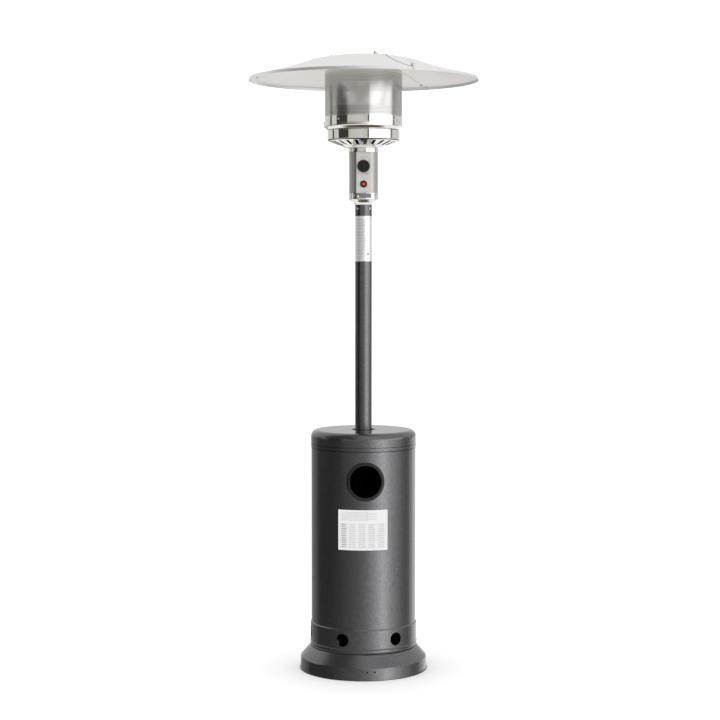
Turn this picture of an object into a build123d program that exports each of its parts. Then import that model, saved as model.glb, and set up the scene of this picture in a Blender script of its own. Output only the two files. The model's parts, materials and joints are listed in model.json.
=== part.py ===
from build123d import *
import math
import os

# Patio heater, in millimetres: +Z up, the control panel faces -Y, origin on the floor
# at the middle of the base. Angles called "turn" are measured about +Z from the front.

# Base, pressed sheet with a cast weight under its deck
base_d = 458
base_lip = 3
base_sheet = 1.5
rim_in = 4.5
rim_h = 44
deck_margin = 1
deck_h = 84
base_turn = 6.8
weight_in = 6
weight_bore_d = 140
weight_h = 12
wheel_hole_d = 6.5
wheel_hole_pitch = 26
wheel_hole_h = 30
foot_bolt_out = 14

# Vent ring that the tank housing stands in
ring_sheet = 1.2
ring_h = 79
vent_d = 46
vent_h = 132.5
vent_count = 6
bead_r = 2
bead_heights = (4, 16)
ring_tab_w = 20
ring_tab_in = 20

# Tank housing, which lifts up the post
tank_d = 372
tank_sheet = 0.8
tank_spigot = 6
tank_bead = 3
tank_bead_h = 5
tank_join_h = 795
lid_lap = 20
lid_fit = 0.1
lid_sheet = 1.1
lid_h = 62
lid_edge_r = 22
lid_hole_d = 84
lid_groove = 0.5
lid_groove_w = 2
window_down = 104.4
window_d = 112
window_turn = 2
trim_flange_w = 11.5
trim_t = 2.5
trim_lip = 2
rating_w = 178
rating_h = 141
rating_low = 451
rating_turn = -0.8
foil_t = 0.2

# Support legs and post
leg_w = 30
leg_t = 3
leg_in = 27
leg_foot = 21
leg_bend_r = 6
leg_shoulder_down = 53
leg_rise = 53
leg_tab_h = 58
leg_tab_bolts = (20, 43)
post_d = 60
post_wall = 1.5
post_foot_up = 43
post_top_h = 1656
post_label_h = 160
post_label_down = 200
post_label_arc = 220
bushing_plug_h = 18
bushing_flange = 3

# Gas pipe and its threaded inlet
pipe_d = 9.5
pipe_bore = 7
pipe_x = 8
inlet_thread_r = 6.5785
inlet_thread_l = 12
inlet_hex = 17
inlet_hex_h = 12
inlet_down = 57

# Control housing
head_turn = 5
neck_h = 16
neck_top_in = 4.6
flare_h = 9
flare_out = 3.5
flare_r = 8
spigot_l = 30
spigot_fit = 0.2
neck_sheet = 1.5
cap_sheet = 1.2
lower_cap_fold = 4
upper_cap_fold = 2
lower_cap_out = 1.4
lower_cap_h = 24
upper_cap_out = 1.8
upper_cap_h = 15
cap_screw_in = 8
body_h = 145
body_d = 102.4
body_sheet = 1.2
panel_w = 50
panel_fit = 0.2
panel_sheet = 1.2
panel_return = 8
post_screw_down = 14
caution_h = 16.5
caution_up = 6.5
caution_arc = 61
caution_turn = 0

# Valve, knob and igniter
knob_up = 94
knob_d = 44
knob_skirt = 9
knob_grip_w = 11
knob_grip_h = 9
knob_gap = 4.5
knob_hollow = 4
knob_hub_d = 14
stem_d = 6
running_fit = 0.05
washer_d = 13
washer_t = 1.5
valve_w = 36
valve_depth = 34
valve_tall = 44
valve_boss_d = 18
valve_boss_l = 21
valve_port_d = 16
valve_port_h = 8
pillar_d = 8
pillar_x = 14
press_travel = 3.5
igniter_up = 31.6
igniter_body_d = 18
igniter_body_l = 38
igniter_terminal_x = -3
bezel_d = 25
bezel_t = 4.4
button_d = 13
button_proud = 7
button_fit = 0.3
button_stem = 8
injector_hex = 12
injector_hex_h = 14
injector_tip = 8
injector_tip_d = 8
tube_d = 24
tube_wall = 1.2
tube_rise = 67

# Leads from the control housing to the burner
lead_r = 38
lead_hole_fit = 0.6
pilot_r = 100
pilot_spread = 15
pilot_tube_d = 4
thermo_d = 3
igniter_lead_d = 4.4

# Burner bowl, collar, emitter screen
bowl_sheet = 1
bowl_d = 256
bowl_floor_d = 120
bowl_cone_in = 4.5
bowl_cone_h = 24
bowl_edge_h = 28
bowl_wall_top = 61
slot_count = 22
slot_w = 11
slot_l = 40
slot_in = 4.5
slot_turn = 3.3
collar_out = 10
collar_groove = 1
collar_shoulder = 10.5
collar_h = 46
collar_hole_in = 12
cup_in = 10
cup_h = 82
plate_down = 8
plate_holes_r = (30, 45, 60, 75)
screen_gap = 0.5
screen_sheet = 0.8
screen_lap = 28
screen_h = 163
screen_cap_flange = 22
screen_fit = 0.2
lighting_hole_d = 12
lighting_turn = -96
cover_w = 16
cover_l = 24
cover_t = 1.2
cover_rivet_down = 4
rivet_d = 3

# Reflector, three lapped panels of one shallow dome
reflector_d = 813
rim_flange_h = 10
rim_flange_in = 2.5
rim_drop = 34
crease_r = 190
crease_rise = 36
crown_rise = 22
cone_hollow = 4.1
reflector_sheet = 0.8
seam_turn = 27
lap_deg = 3
lap_root_deg = 1
seam_bolt_in = 28.5
seam_rivet_r = 182
seam_rivet_d = 4
seam_rivet_cap = 8
seam_rivet_head = 1.6
seam_clearance = 0.4
stud_r = 115
stud_turn = 20.5
stud_d = 6
stud_h = 58
spacer_d = 12
wing_span = 17
seam_wing_tall = 15
stud_wing_tall = 9.5
wing_hub_d = 11
clamp_washer = 1

# Screws
screw_fit = 0.1
leg_bolt_d = 6
leg_bolt_hex = 10
leg_bolt_head = 4
ring_screw_d = 5
head_screw_d = 4
head_screw_cap = 8
head_screw_dome = 2.4
head_screw_l = 6
post_screw_d = 5
post_screw_cap = 10
post_screw_dome = 3
seam_bolt_d = 5

TOP = (Align.CENTER, Align.CENTER, Align.MAX)
LOW = (Align.CENTER, Align.CENTER, Align.MIN)

leg_turns = [base_turn + turn for turn in (60, 180, 300)]
tab_turns = [base_turn + turn for turn in (0, 120, 240)]
post_turns = [45, 135, 225, 315]
quarter_turns = [head_turn + turn for turn in post_turns]
seam_turns = [seam_turn + turn for turn in (0, 120, 240)]
stud_turns = [stud_turn + turn for turn in (0, 120, 240)]

ring_d = tank_d + 2 * tank_bead
deck_d = ring_d + 2 * deck_margin
weight_d = deck_d - 2 * weight_in
rim_top_d = base_d - 2 * rim_in
leg_inner_r = ring_d / 2 - leg_in
foot_bolt_r = leg_inner_r + foot_bolt_out
ring_top_h = deck_h + ring_h
lid_top_h = tank_join_h + lid_h
window_h = tank_join_h - window_down
leg_shoulder_h = tank_join_h - leg_shoulder_down
post_foot_h = leg_shoulder_h + post_foot_up
inlet_h = post_foot_h - inlet_down
post_label_low = post_top_h - post_label_down
cap_floor_h = post_top_h + neck_h
body_low_h = cap_floor_h + lower_cap_h
body_top_h = body_low_h + body_h
bowl_h = body_top_h + upper_cap_h
bowl_top_h = bowl_h + bowl_wall_top
lower_cap_d = body_d + 2 * lower_cap_out
upper_cap_d = body_d + 2 * upper_cap_out
neck_top_d = lower_cap_d - 2 * neck_top_in
knob_h = body_low_h + knob_up
igniter_h = body_low_h + igniter_up
bowl_cone_d = bowl_d - 2 * bowl_cone_in
slot_to_r = bowl_cone_d / 2 - slot_in
slot_from_r = slot_to_r - slot_l
collar_d = bowl_d + 2 * collar_out
cup_d = bowl_d - 2 * cup_in
collar_hole_r = cup_d / 2 - collar_hole_in
screen_d = collar_d - 2 * (bowl_sheet + screen_gap)
tube_top_h = bowl_top_h + tube_rise
collar_top_h = bowl_top_h + collar_h
cup_top_h = bowl_top_h + bowl_sheet + cup_h
plate_h = cup_top_h - plate_down
screen_top_h = collar_top_h + screen_h
rim_low_h = screen_top_h - rim_drop
crease_h = screen_top_h + crease_rise
crown_h = crease_h + crown_rise
stud_top_h = screen_top_h + stud_h
seam_bolt_r = reflector_d / 2 - seam_bolt_in
panel_y = -math.sqrt((body_d / 2) ** 2 - (panel_w / 2 + panel_fit) ** 2)
panel_back_y = panel_y + panel_sheet
corner_r = reflector_d / 2 - rim_flange_in
corner_h = rim_low_h + rim_flange_h
post_bore_r = post_d / 2 - post_wall


def turned(points, radii=None):
    """A ring or disc from a closed outline of (radius, height) points."""
    if radii:
        outline = FilletPolyline(*points, radius=radii, close=True)
    else:
        outline = Polyline(*points, close=True)
    return revolve(make_face(Plane.XZ * outline), Axis.Z)


def tube(outer_r, inner_r, low, high):
    solid = Pos(0, 0, low) * Cylinder(outer_r, high - low, align=LOW)
    if inner_r:
        solid -= Pos(0, 0, low) * Cylinder(inner_r, high - low, align=LOW)
    return solid


def facing_out(radius, height, shape):
    """Puts a shape made along +Z on the front of the heater, pointing out."""
    return Pos(0, -radius, height) * Rot(90, 0, 0) * shape


def copies(shape, turns):
    return [Rot(0, 0, turn) * shape for turn in turns]


def drilled(solid, hole, turns):
    for cutter in copies(hole, turns):
        solid -= cutter
    return solid


def radial_hole(diameter, height, reach_from, reach_to):
    cutter = Cylinder(diameter / 2, reach_to - reach_from, align=LOW)
    return facing_out(reach_from, height, cutter)


def upright_hole(diameter, radius, low, high):
    return Pos(0, -radius, low) * Cylinder(diameter / 2, high - low, align=LOW)


def arc_patch(inner_r, thickness, low, high, arc, turn):
    """A thin sheet wrapped on a cylinder, centred on the given turn."""
    section = Plane.XZ * Pos(inner_r + thickness / 2, (low + high) / 2)
    section *= Rectangle(thickness, high - low)
    patch = revolve(section, Axis.Z, revolution_arc=arc)
    return Rot(0, 0, turn - 90 - arc / 2) * patch


def hex_bolt(diameter, length, across, head):
    bolt = Cylinder(diameter / 2, length, align=TOP)
    return bolt + extrude(RegularPolygon(across / 2, 6, major_radius=False), head)


def hex_nut(diameter, across, height):
    nut = extrude(RegularPolygon(across / 2, 6, major_radius=False), height)
    return nut - Cylinder(diameter / 2 + running_fit, height, align=LOW)


def dome_screw(diameter, length, cap, dome):
    """A cross-head screw along +Z, its cap's underside at 0."""
    head = Cylinder(cap / 2, dome, align=LOW)
    head = fillet(head.edges().sort_by(Axis.Z)[-1:], dome * 0.7)
    for quarter in (0, 90):
        head -= Pos(0, 0, dome) * Rot(0, 0, quarter) * Box(cap * 0.55, cap * 0.12, dome)
    return head + Cylinder(diameter / 2, length, align=TOP)


def wing_nut(bore_d, tall):
    hub_h = tall * 0.55
    hub = Cone(wing_hub_d / 2, wing_hub_d / 2 - 1, hub_h, align=LOW)
    root = wing_hub_d / 2 - 2
    tip = wing_span / 2
    outline = Polyline(
        (root, 1),
        (tip - 2, hub_h * 0.6),
        (tip, tall - 3),
        (tip - 2, tall),
        (tip - 4, tall - 2),
        (root, hub_h - 1),
        close=True,
    )
    wing = extrude(make_face(Plane.XZ * outline), 1.2, both=True)
    nut = hub + wing + Rot(0, 0, 180) * wing
    return nut - Cylinder(bore_d / 2 + running_fit, tall, align=LOW)


def base_pan():
    rim_r = rim_top_d / 2
    wall_foot_r = base_d / 2 - base_lip
    points = [
        (base_d / 2, 0),
        (base_d / 2, base_sheet),
        (wall_foot_r, base_sheet),
        (rim_r, rim_h),
        (deck_d / 2, deck_h),
        (0, deck_h),
        (0, deck_h - base_sheet),
        (deck_d / 2 - base_sheet, deck_h - base_sheet),
        (rim_r - base_sheet, rim_h - base_sheet),
        (wall_foot_r - base_sheet, 0),
    ]
    radii = [0, 0, 0.5, 5, 4, 0, 0, 4 - base_sheet, 5 - base_sheet, 0]
    pan = turned(points, radii)
    hole = radial_hole(wheel_hole_d, wheel_hole_h, rim_r - 12, base_d / 2 + 5)
    for side in (-0.5, 0.5):
        pan -= Rot(0, 0, base_turn) * Pos(side * wheel_hole_pitch, 0, 0) * hole
    bolt_hole = upright_hole(leg_bolt_d + 2 * screw_fit, foot_bolt_r, 0, deck_h)
    pan = drilled(pan, bolt_hole, leg_turns)
    screw_hole = upright_hole(ring_screw_d + 2 * screw_fit, foot_bolt_r, 0, deck_h)
    return drilled(pan, screw_hole, tab_turns)


def base_weight():
    top = deck_h - base_sheet
    disc = tube(weight_d / 2, weight_bore_d / 2, top - weight_h, top)
    bolt_hole = upright_hole(leg_bolt_d + 2 * screw_fit, foot_bolt_r, 0, top)
    disc = drilled(disc, bolt_hole, leg_turns)
    screw_hole = upright_hole(ring_screw_d + 2 * running_fit, foot_bolt_r, 0, top)
    return drilled(disc, screw_hole, tab_turns)


def vent_ring():
    outer_r = ring_d / 2
    inner_r = outer_r - ring_sheet
    ring = tube(outer_r, inner_r, deck_h, ring_top_h)
    for height in bead_heights:
        bead = Pos(0, 0, deck_h + height) * Torus(outer_r - ring_sheet / 2, bead_r)
        ring += bead
    ring -= tube(inner_r, 0, deck_h - bead_r, ring_top_h)
    vent = radial_hole(vent_d, vent_h, inner_r - 20, outer_r + 20)
    vents = [base_turn + (step + 0.5) * 360 / vent_count for step in range(vent_count)]
    ring = drilled(ring, vent, vents)
    tab = Pos(0, -inner_r + ring_tab_in / 2 - 0.5, deck_h)
    tab *= Box(ring_tab_w, ring_tab_in + 1, ring_sheet, align=LOW)
    tab -= upright_hole(ring_screw_d + 2 * screw_fit, foot_bolt_r, deck_h, ring_top_h)
    for piece in copies(tab, tab_turns):
        ring += piece
    return ring


def ring_screws():
    seat = deck_h + ring_sheet
    screw = dome_screw(ring_screw_d, ring_sheet + base_sheet + weight_h, 9, 3)
    return copies(Pos(0, -foot_bolt_r, seat) * screw, tab_turns)


def support_leg(turn):
    mid = leg_t / 2
    wall_r = leg_inner_r + mid
    path = Plane.XZ * FilletPolyline(
        (wall_r + leg_foot, deck_h + mid),
        (wall_r, deck_h + mid),
        (wall_r, leg_shoulder_h),
        (post_d / 2 + mid, leg_shoulder_h + leg_rise),
        (post_d / 2 + mid, leg_shoulder_h + leg_rise + leg_tab_h),
        radius=leg_bend_r,
    )
    section = Plane(origin=path @ 0, x_dir=(0, 1, 0), z_dir=path % 0)
    leg = Rot(0, 0, -90) * sweep(section * Rectangle(leg_w, leg_t), path=path)
    hole_d = leg_bolt_d + 2 * screw_fit
    leg -= upright_hole(hole_d, foot_bolt_r, deck_h - 1, deck_h + leg_t + 1)
    for up in leg_tab_bolts:
        leg -= radial_hole(hole_d, leg_shoulder_h + leg_rise + up, post_d / 2 - 2, post_d)
    return Rot(0, 0, turn) * leg


def leg_bolts():
    foot_l = leg_t + base_sheet + weight_h + 7
    foot = hex_bolt(leg_bolt_d, foot_l, leg_bolt_hex, leg_bolt_head)
    bolts = copies(Pos(0, -foot_bolt_r, deck_h + leg_t) * foot, leg_turns)
    side = hex_bolt(leg_bolt_d, leg_t + post_wall + 6, leg_bolt_hex, leg_bolt_head)
    for up in leg_tab_bolts:
        height = leg_shoulder_h + leg_rise + up
        bolts += copies(facing_out(post_d / 2 + leg_t, height, side), leg_turns)
    return bolts


def leg_nuts():
    nut = hex_nut(leg_bolt_d, leg_bolt_hex, 5)
    low = deck_h - base_sheet - weight_h - 5
    return copies(Pos(0, -foot_bolt_r, low) * nut, leg_turns)


def post():
    pipe = tube(post_d / 2, post_bore_r, post_foot_h, post_top_h)
    for up in leg_tab_bolts:
        hole = radial_hole(leg_bolt_d + 2 * screw_fit, leg_shoulder_h + leg_rise + up, 20, 40)
        pipe = drilled(pipe, hole, leg_turns)
    hole = radial_hole(post_screw_d + 2 * screw_fit, post_top_h - post_screw_down, 20, 40)
    return drilled(pipe, hole, post_turns)


def on_pipe(shape):
    """The gas pipe runs down inside the post, beside its middle."""
    return Pos(pipe_x, 0, 0) * shape


def post_bushing():
    low = post_foot_h - bushing_flange
    high = post_foot_h + bushing_plug_h
    plug = tube(post_d / 2, 0, low, post_foot_h)
    plug += tube(post_bore_r - spigot_fit, 0, post_foot_h, high)
    return plug - on_pipe(tube(pipe_d / 2 + spigot_fit, 0, low, high))


def post_label():
    high = post_label_low + post_label_h
    return arc_patch(post_d / 2, foil_t, post_label_low, high, post_label_arc, 0)


def post_screws():
    length = post_wall + spigot_fit + neck_sheet + 3
    screw = dome_screw(post_screw_d, length, post_screw_cap, post_screw_dome)
    height = post_top_h - post_screw_down
    return copies(facing_out(post_d / 2, height, screw), post_turns)


def gas_pipe():
    low = inlet_h + inlet_thread_l + inlet_hex_h
    high = knob_h - valve_tall / 2 - valve_port_h
    return on_pipe(tube(pipe_d / 2, pipe_bore / 2, low, high))


def inlet_fitting():
    collar = Pos(0, 0, inlet_h + inlet_thread_l)
    collar *= extrude(RegularPolygon(inlet_hex / 2, 6, major_radius=False), inlet_hex_h)
    thread = tube(inlet_thread_r, 0, inlet_h, inlet_h + inlet_thread_l)
    bore = tube(pipe_bore / 2, 0, inlet_h, inlet_h + inlet_thread_l + inlet_hex_h)
    return on_pipe(collar + thread - bore)


def neck_cone():
    """Spigot in the post and a hollow flare that widens to the lower cap."""
    outer_r = post_bore_r - spigot_fit
    inner_r = outer_r - neck_sheet
    low_r = post_d / 2 + 1
    top_r = neck_top_d / 2
    steep = math.atan2(flare_h, flare_out)
    flat = math.atan2(neck_h - flare_h, top_r - low_r - flare_out)
    lean = (steep + flat) / 2
    across = neck_sheet / math.cos((steep - flat) / 2)
    middle = (low_r + flare_out, post_top_h + flare_h)
    points = [
        (outer_r, post_top_h - spigot_l),
        (outer_r, post_top_h),
        (low_r, post_top_h),
        middle,
        (top_r, cap_floor_h),
        (top_r - neck_sheet / math.sin(flat), cap_floor_h),
        (middle[0] - across * math.sin(lean), middle[1] + across * math.cos(lean)),
        (low_r - neck_sheet * math.tan(steep / 2), post_top_h + neck_sheet),
        (inner_r, post_top_h + neck_sheet),
        (inner_r, post_top_h - spigot_l),
    ]
    neck = turned(points, [0, 0, 0, flare_r, 0, 0, flare_r + neck_sheet, 0, 0, 0])
    hole = radial_hole(post_screw_d + 2 * running_fit, post_top_h - post_screw_down, 20, 40)
    return drilled(neck, hole, post_turns)


def cap_screw_hole(height):
    return radial_hole(head_screw_d + 2 * screw_fit, height, body_d / 2 - 6, upper_cap_d)


def lower_cap():
    outer_r = lower_cap_d / 2
    inner_r = outer_r - cap_sheet
    floor = cap_floor_h + cap_sheet
    bore = pipe_x + pipe_d / 2 + 3
    points = [
        (bore, cap_floor_h),
        (outer_r, cap_floor_h),
        (outer_r, body_low_h),
        (inner_r, body_low_h),
        (inner_r, floor),
        (bore, floor),
    ]
    cap = turned(points, [0, lower_cap_fold, 0, 0, lower_cap_fold - cap_sheet, 0])
    return drilled(cap, cap_screw_hole(body_low_h - cap_screw_in), quarter_turns)


def control_shell():
    outer_r = body_d / 2
    low = cap_floor_h + lower_cap_fold
    high = bowl_h - upper_cap_fold
    shell = tube(outer_r, outer_r - body_sheet, low, high)
    opening_w = panel_w + 2 * panel_fit
    middle = (body_low_h + body_top_h) / 2
    shell -= Pos(0, -outer_r, middle) * Box(opening_w, outer_r, body_h)
    for height in (body_low_h - cap_screw_in, body_top_h + cap_screw_in):
        shell = drilled(shell, cap_screw_hole(height), quarter_turns)
    return shell


def control_panel():
    middle = (body_low_h + body_top_h) / 2
    tall = body_h - 2 * panel_fit
    depth = panel_sheet + panel_return
    panel = Pos(0, panel_y + depth / 2, middle) * Box(panel_w, depth, tall)
    inside = Pos(0, panel_back_y + depth / 2, middle)
    panel -= inside * Box(panel_w - 2 * panel_sheet, depth, tall)
    front = -panel_y
    panel -= Pos(0, 0, knob_h) * facing_out(front - 5, 0, Cylinder(stem_d / 2 + 2, 20))
    for side in (-1, 1):
        screw_hole = Cylinder(head_screw_d / 2 + screw_fit, 20)
        panel -= Pos(side * pillar_x, 0, knob_h) * facing_out(front, 0, screw_hole)
    neck_r = igniter_body_d / 2 + screw_fit
    panel -= facing_out(front, igniter_h, Cylinder(neck_r, 20))
    return panel


def upper_cap():
    outer_r = upper_cap_d / 2
    inner_r = outer_r - cap_sheet
    bore = tube_d / 2 + lead_hole_fit
    points = [
        (bore, bowl_h),
        (bore, bowl_h - cap_sheet),
        (inner_r, bowl_h - cap_sheet),
        (inner_r, body_top_h),
        (outer_r, body_top_h),
        (outer_r, bowl_h),
    ]
    cap = turned(points, [0, 0, upper_cap_fold - cap_sheet, 0, 0, upper_cap_fold])
    cap = drill_leads(cap, bowl_h - 2 * cap_sheet, bowl_h + 1)
    bolt = upright_hole(head_screw_d + 2 * running_fit, bowl_screw_r(), body_top_h, bowl_h + 1)
    cap = drilled(cap, bolt, quarter_turns)
    return drilled(cap, cap_screw_hole(body_top_h + cap_screw_in), quarter_turns)


def bowl_screw_r():
    return body_d / 2 - body_sheet - head_screw_cap / 2 - 3


def drill_leads(sheet, low, high):
    for turn, size in zip(lead_turns(), (pilot_tube_d, thermo_d, igniter_lead_d)):
        hole = upright_hole(size + 2 * lead_hole_fit, lead_r, low, high)
        sheet -= Rot(0, 0, turn) * hole
    return sheet


def lead_turns():
    return [180 - pilot_spread, 180, 180 + pilot_spread]


def head_screws():
    """The small screws of the two caps, the bowl's floor and the collar."""
    screw = dome_screw(head_screw_d, head_screw_l, head_screw_cap, head_screw_dome)
    screws = []
    for outer, height in (
        (lower_cap_d / 2, body_low_h - cap_screw_in),
        (upper_cap_d / 2, body_top_h + cap_screw_in),
        (collar_d / 2, collar_top_h - 11),
    ):
        screws += copies(facing_out(outer, height, screw), quarter_turns)
    seat = Pos(0, -bowl_screw_r(), bowl_h + bowl_sheet)
    return screws + copies(seat * screw, quarter_turns)


def caution_plate():
    low = cap_floor_h + caution_up
    return arc_patch(lower_cap_d / 2, foil_t, low, low + caution_h, caution_arc, caution_turn)


def valve_body():
    block = Pos(0, 0, knob_h) * Box(valve_w, valve_depth, valve_tall)
    block = fillet(block.edges().filter_by(Axis.Z), 5)
    front = valve_depth / 2
    boss = Cylinder(valve_boss_d / 2, valve_boss_l + 2, align=LOW)
    block += facing_out(front - 2, knob_h, boss)
    pillar = Cylinder(pillar_d / 2, -panel_back_y - front + 2, align=LOW)
    for side in (-1, 1):
        block += Pos(side * pillar_x, 0, 0) * facing_out(front - 2, knob_h, pillar)
    reach = valve_tall / 2 + valve_port_h
    block += tube(valve_port_d / 2, 0, knob_h, knob_h + reach)
    block += on_pipe(tube(valve_port_d / 2, 0, knob_h - reach, knob_h))
    boss_front = front + valve_boss_l
    bore = Cylinder(stem_d / 2 + running_fit, boss_front - front + 6, align=TOP)
    block -= facing_out(boss_front, knob_h, bore)
    pocket = Cylinder(washer_d / 2 + button_fit, press_travel + washer_t + 2, align=TOP)
    block -= facing_out(boss_front, knob_h, pocket)
    thread = Cylinder(head_screw_d / 2 + running_fit, 12, align=TOP)
    for side in (-1, 1):
        block -= Pos(side * pillar_x, 0, 0) * facing_out(-panel_back_y, knob_h, thread)
    return block


def valve_screws():
    screw = dome_screw(head_screw_d, 10, 7, 1.6)
    placed = facing_out(-panel_y, knob_h, screw)
    return [Pos(side * pillar_x, 0, 0) * placed for side in (-1, 1)]


def knob_back_y():
    return panel_y - knob_gap


def knob():
    """Round skirt with a raised grip bar, hollow behind around its hub."""
    skirt = Cylinder(knob_d / 2, knob_skirt, align=LOW)
    skirt = fillet(skirt.edges().sort_by(Axis.Z)[-1:], 2)
    grip = Pos(0, 0, knob_skirt - 1)
    grip *= Box(knob_grip_w, knob_d - 2, knob_grip_h + 1, align=LOW)
    grip = fillet(grip.edges().group_by(Axis.Z)[-1], 2.5)
    body = skirt + (grip & Cylinder(knob_d / 2 - 1, 3 * knob_skirt, align=LOW))
    body -= Cylinder(knob_d / 2 - 3, knob_hollow, align=LOW)
    body += Cylinder(knob_hub_d / 2, knob_hollow + 1, align=LOW)
    body -= Cylinder(stem_d / 2, knob_skirt + 3, align=LOW)
    return facing_out(-knob_back_y(), knob_h, body)


def knob_pointer():
    up = knob_d / 2 - 3
    mark = Pos(0, up, knob_skirt + knob_grip_h) * Box(1.6, 3, 0.4, align=LOW)
    return facing_out(-knob_back_y(), knob_h, mark)


def valve_stem():
    back = -(valve_depth / 2 + press_travel + 1)
    front = knob_back_y() - knob_skirt - 3
    return facing_out(-back, knob_h, Cylinder(stem_d / 2, back - front, align=LOW))


def stem_washer():
    boss_front = valve_depth / 2 + valve_boss_l
    ring = Cylinder(washer_d / 2, washer_t, align=TOP)
    ring -= Cylinder(stem_d / 2 + running_fit, washer_t, align=TOP)
    return facing_out(boss_front - 0.5, knob_h, ring)


def igniter_body():
    """Piezo barrel behind the panel, open at the front for the button's stem."""
    front = -panel_y
    barrel = Cylinder(igniter_body_d / 2, igniter_body_l, align=TOP)
    travel = button_proud
    barrel -= Cylinder(button_d / 2 + button_fit, button_stem + travel, align=TOP)
    return facing_out(front, igniter_h, barrel)


def igniter_bezel():
    ring = Cylinder(bezel_d / 2, bezel_t, align=LOW)
    ring = fillet(ring.edges().sort_by(Axis.Z)[-1:], 1.5)
    ring -= Cylinder(button_d / 2 + button_fit, bezel_t, align=LOW)
    return facing_out(-panel_y, igniter_h, ring)


def igniter_button():
    rise = bezel_t + button_proud
    button = Pos(0, 0, -button_stem) * Cylinder(button_d / 2, rise + button_stem, align=LOW)
    button = fillet(button.edges().sort_by(Axis.Z)[-1:], 3.5)
    return facing_out(-panel_y, igniter_h, button)


def injector():
    low = knob_h + valve_tall / 2 + valve_port_h
    body = Pos(0, 0, low)
    body *= extrude(RegularPolygon(injector_hex / 2, 6, major_radius=False), injector_hex_h)
    high = low + injector_hex_h + injector_tip
    body += tube(injector_tip_d / 2, 0, low, high)
    return body - tube(0.6, 0, low, high)


def mixing_tube():
    """Venturi tube from the injector to the burner cup, on a flange on the bowl's floor."""
    low = knob_h + valve_tall / 2 + valve_port_h + injector_hex_h + 2
    outer_r = tube_d / 2
    inner_r = outer_r - tube_wall
    floor = bowl_h + bowl_sheet
    mixer = turned([
        (injector_tip_d / 2 + running_fit, low),
        (outer_r, low),
        (outer_r, floor),
        (outer_r + 10, floor),
        (outer_r + 10, floor + 2),
        (outer_r, floor + 2),
        (outer_r, tube_top_h),
        (inner_r, tube_top_h),
        (inner_r, low + tube_wall),
        (injector_tip_d / 2 + running_fit, low + tube_wall),
    ])
    port = radial_hole(8, floor + 14, 5, 20)
    return drilled(mixer, port, [0, 90, 180, 270])


def tilt_switch():
    floor = cap_floor_h + cap_sheet
    case = Pos(26, 18, floor) * Box(18, 16, 26, align=LOW)
    case = fillet(case.edges().filter_by(Axis.Z), 2)
    terminal = Pos(26, 18, floor + 26) * Cylinder(2.5, 5, align=LOW)
    return case + terminal


def lead(diameter, points, radii):
    """A thin tube or wire: straight runs joined by tangent arcs."""
    path = FilletPolyline(*points, radius=radii)
    section = Plane(origin=path @ 0, z_dir=path % 0) * Circle(diameter / 2)
    return sweep(section, path=path)


def lead_to_burner(diameter, turn, start, top_h):
    """From a point behind the valve, up past the bowl's floor and out to the pilot."""
    angle = math.radians(turn)
    out_x = math.sin(angle)
    out_y = -math.cos(angle)
    points = start + [
        (lead_r * out_x, lead_r * out_y, start[-1][2]),
        (lead_r * out_x, lead_r * out_y, bowl_h + 16),
        (pilot_r * out_x, pilot_r * out_y, bowl_top_h + 12),
        (pilot_r * out_x, pilot_r * out_y, top_h),
    ]
    bends = [8] * (len(points) - 4) + [18, 18]
    return lead(diameter, points, bends)


def pilot_tube():
    turn = lead_turns()[0]
    x = lead_r * math.sin(math.radians(turn))
    start = [(x, valve_depth / 2, knob_h + 10)]
    return lead_to_burner(pilot_tube_d, turn, start, plate_h - 8)


def thermocouple():
    """Copper lead with a thicker hot tip over the burner plate."""
    start = [(0, valve_depth / 2, knob_h - 8)]
    wire = lead_to_burner(thermo_d, 180, start, plate_h - 6)
    tip = Pos(0, pilot_r, plate_h - 6) * Cylinder(thermo_d / 2 + 1, 26, align=LOW)
    return wire + tip


def igniter_lead():
    turn = lead_turns()[2]
    back_y = panel_y + igniter_body_l
    start = [
        (igniter_terminal_x, back_y, igniter_h),
        (igniter_terminal_x, back_y + 22, igniter_h),
    ]
    angle = math.radians(turn)
    rise = igniter_h + 22
    points = start + [
        (lead_r * math.sin(angle), -lead_r * math.cos(angle), rise),
        (lead_r * math.sin(angle), -lead_r * math.cos(angle), bowl_h + 16),
        (pilot_r * math.sin(angle), -pilot_r * math.cos(angle), bowl_top_h + 12),
        (pilot_r * math.sin(angle), -pilot_r * math.cos(angle), plate_h - 8),
    ]
    return lead(igniter_lead_d, points, [6, 9, 18, 18])


def electrode():
    turn = lead_turns()[2]
    core = Pos(0, -pilot_r, plate_h - 8) * Cylinder(3.5, 22, align=LOW)
    spark = Pos(0, -pilot_r, plate_h + 14) * Cylinder(1, 10, align=LOW)
    return Rot(0, 0, turn) * (core + spark)


def pilot_burner():
    turn = lead_turns()[0]
    jet = Pos(0, -pilot_r, plate_h - 8) * Cylinder(4, 24, align=LOW)
    hood = Pos(0, -pilot_r, plate_h + 10) * Cylinder(6, 8, align=LOW)
    return Rot(0, 0, turn) * (jet + hood)


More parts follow.
